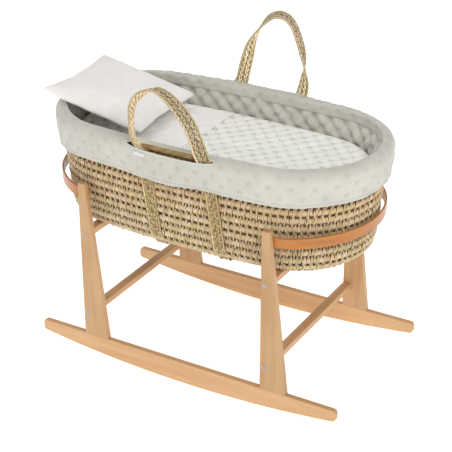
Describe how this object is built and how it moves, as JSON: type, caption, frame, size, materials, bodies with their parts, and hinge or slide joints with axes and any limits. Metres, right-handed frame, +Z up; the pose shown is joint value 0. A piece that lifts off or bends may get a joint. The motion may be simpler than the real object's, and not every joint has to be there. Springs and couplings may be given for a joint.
{
  "type": "bassinet on stand",
  "caption": "Oval woven bassinet with strap handles, quilted liner, bedding and pillow, lifting out of a wooden rocking stand with tapered uprights and bent-wood hoops.",
  "frame": {"origin": "on the floor under the middle of the object's bounding box, at the rockers' lowest line", "axes": "+X along the basket towards the foot end, +Y across the basket, +Z up"},
  "size_m": [0.881, 0.5124, 0.8172],
  "materials": {
    "beech": "satin",
    "bentwood": "satin",
    "steel": "satin",
    "dowel": "matte",
    "palm_weave": "matte",
    "braid": "matte",
    "liner": "matte",
    "binding": "matte",
    "tag": "matte",
    "quilting": "matte",
    "white_cotton": "matte",
    "mattress_cover": "matte"
  },
  "bodies": {
    "stand": {"rocker_near": "beech", "rocker_far": "beech", "upright_head_near": "beech", "upright_head_far": "beech", "upright_foot_near": "beech", "upright_foot_far": "beech", "lower_rail_head": "beech", "upper_rail_head": "beech", "lower_rail_foot": "beech", "upper_rail_foot": "beech", "hoop_head": "bentwood", "hoop_foot": "bentwood", "rail_bolts": "steel", "barrel_nuts": "steel", "upright_dowels": "dowel", "hoop_screws": "steel"},
    "basket": {"basket_floor": "palm_weave", "basket_wall": "palm_weave", "rim_rope": "palm_weave", "strap_head": "braid", "strap_foot": "braid", "liner_wall": "liner", "liner_skirt": "liner", "hem_cord": "liner", "liner_tag": "tag", "slot_binding_near": "binding", "slot_binding_far": "binding"},
    "handle_near": {"handle_near": "braid"},
    "handle_far": {"handle_far": "braid"},
    "bedding": {"mattress": "mattress_cover", "quilt": "quilting", "top_sheet": "white_cotton"},
    "pillow": {"pillow": "white_cotton"}
  },
  "joints": [
    {"name": "basket_lift", "type": "slide", "parent": "stand", "child": "basket", "axis": [0, 0, 1], "range_m": [0, 0.18]},
    {"name": "handle_near_swing", "type": "hinge", "parent": "basket", "child": "handle_near", "pos_m": [-0.0145, -0.2285, 0.6218], "axis": [1, 0, 0], "range_deg": [-60, 105]},
    {"name": "handle_far_swing", "type": "hinge", "parent": "basket", "child": "handle_far", "pos_m": [0.0075, 0.2285, 0.6218], "axis": [-1, 0, 0], "range_deg": [-60, 105]},
    {"name": "bedding_lift", "type": "slide", "parent": "basket", "child": "bedding", "axis": [0, 0, 1], "range_m": [0, 0.28]},
    {"name": "pillow_lift", "type": "slide", "parent": "bedding", "child": "pillow", "axis": [0, 0, 1], "range_m": [0, 0.12]}
  ]
}
